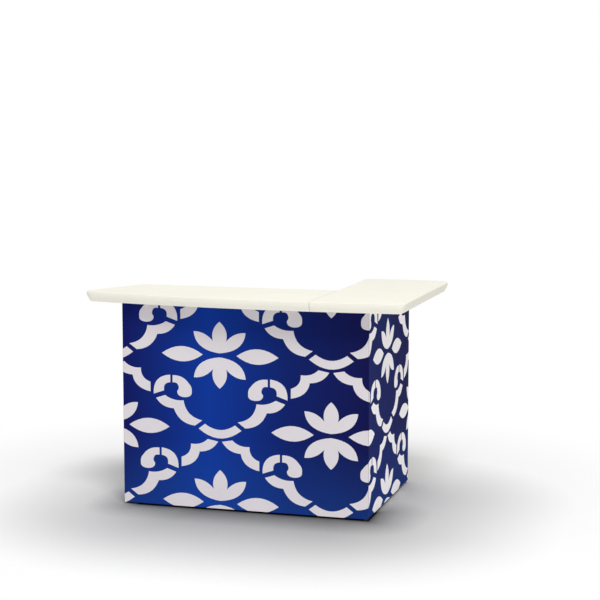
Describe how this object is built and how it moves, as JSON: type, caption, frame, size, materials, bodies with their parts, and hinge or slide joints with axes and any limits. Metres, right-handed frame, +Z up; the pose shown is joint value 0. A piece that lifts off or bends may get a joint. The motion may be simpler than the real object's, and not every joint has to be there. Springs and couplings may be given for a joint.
{
  "type": "folding portable bar",
  "caption": "Portable bar: an L-shaped lift-off counter top on a shallow bottle cabinet in printed panels, with hinged side wings that fold flat behind it.",
  "frame": {"origin": "on the floor under the middle of the bar's overall box", "axes": "+Z up, +X along the front to the right as seen from the front, front facing -Y"},
  "size_m": [1.649, 1.113, 1.067],
  "materials": {
    "printed_panel": "satin printed sheet, blue with a white trellis",
    "cream_top": "cream moulded polyethylene with a fine pebble grain",
    "black_nylon": "moulded black nylon",
    "frame_aluminium": "satin anodised square tube",
    "hinge_steel": "brushed stainless steel",
    "shelf_sheet": "powder-coated folded sheet",
    "floor_board": "plain cream board"
  },
  "bodies": {
    "cabinet": {"floor_board": "floor_board", "front_bottom_rail": "frame_aluminium", "front_panel": "printed_panel", "front_top_rail": "frame_aluminium", "left_bottom_return_rail": "frame_aluminium", "left_front_bottom_corner": "black_nylon", "left_front_post": "frame_aluminium", "left_front_top_corner": "black_nylon", "left_hinge_fixed_leaf": "hinge_steel", "left_hinge_pin": "hinge_steel", "left_lower_shelf_rail": "frame_aluminium", "left_rear_bottom_corner": "black_nylon", "left_rear_post": "frame_aluminium", "left_rear_top_corner": "black_nylon", "left_return_panel": "printed_panel", "left_top_return_rail": "frame_aluminium", "left_upper_shelf_rail": "frame_aluminium", "lower_bottle_rail": "hinge_steel", "lower_shelf": "shelf_sheet", "rear_bottom_rail": "frame_aluminium", "rear_top_rail": "frame_aluminium", "right_bottom_return_rail": "frame_aluminium", "right_front_bottom_corner": "black_nylon", "right_front_post": "frame_aluminium", "right_front_top_corner": "black_nylon", "right_hinge_fixed_leaf": "hinge_steel", "right_hinge_pin": "hinge_steel", "right_lower_shelf_rail": "frame_aluminium", "right_rear_bottom_corner": "black_nylon", "right_rear_post": "frame_aluminium", "right_rear_top_corner": "black_nylon", "right_return_panel": "printed_panel", "right_top_return_rail": "frame_aluminium", "right_upper_shelf_rail": "frame_aluminium", "upper_bottle_rail": "hinge_steel", "upper_shelf": "shelf_sheet"},
    "right_wing": {"right_hinge_wing_leaf": "hinge_steel", "right_wing_bottom_rail": "frame_aluminium", "right_wing_front_bottom_corner": "black_nylon", "right_wing_front_stile": "frame_aluminium", "right_wing_front_top_corner": "black_nylon", "right_wing_middle_rail": "frame_aluminium", "right_wing_panel": "printed_panel", "right_wing_rear_bottom_corner": "black_nylon", "right_wing_rear_stile": "frame_aluminium", "right_wing_rear_top_corner": "black_nylon", "right_wing_top_rail": "frame_aluminium"},
    "left_wing": {"left_hinge_wing_leaf": "hinge_steel", "left_wing_bottom_rail": "frame_aluminium", "left_wing_front_bottom_corner": "black_nylon", "left_wing_front_stile": "frame_aluminium", "left_wing_front_top_corner": "black_nylon", "left_wing_panel": "printed_panel", "left_wing_rear_bottom_corner": "black_nylon", "left_wing_rear_stile": "frame_aluminium", "left_wing_rear_top_corner": "black_nylon", "left_wing_top_rail": "frame_aluminium"},
    "main_counter": {"main_top": "cream_top"},
    "side_counter": {"side_top": "cream_top"}
  },
  "joints": [
    {"name": "right_wing_fold", "type": "hinge", "parent": "cabinet", "child": "right_wing", "pos_m": [0.59691, -0.24401, 0.5], "axis": [0, 0, 1], "range_deg": [0, 90]},
    {"name": "left_wing_fold", "type": "hinge", "parent": "cabinet", "child": "left_wing", "pos_m": [-0.59589, -0.24401, 0.5], "axis": [0, 0, -1], "range_deg": [0, 90]},
    {"name": "main_top_lift", "type": "slide", "parent": "cabinet", "child": "main_counter", "axis": [0, 0, 1], "range_m": [0, 0.25]},
    {"name": "side_top_lift", "type": "slide", "parent": "cabinet", "child": "side_counter", "axis": [0, 0, 1], "range_m": [0, 0.25]}
  ]
}
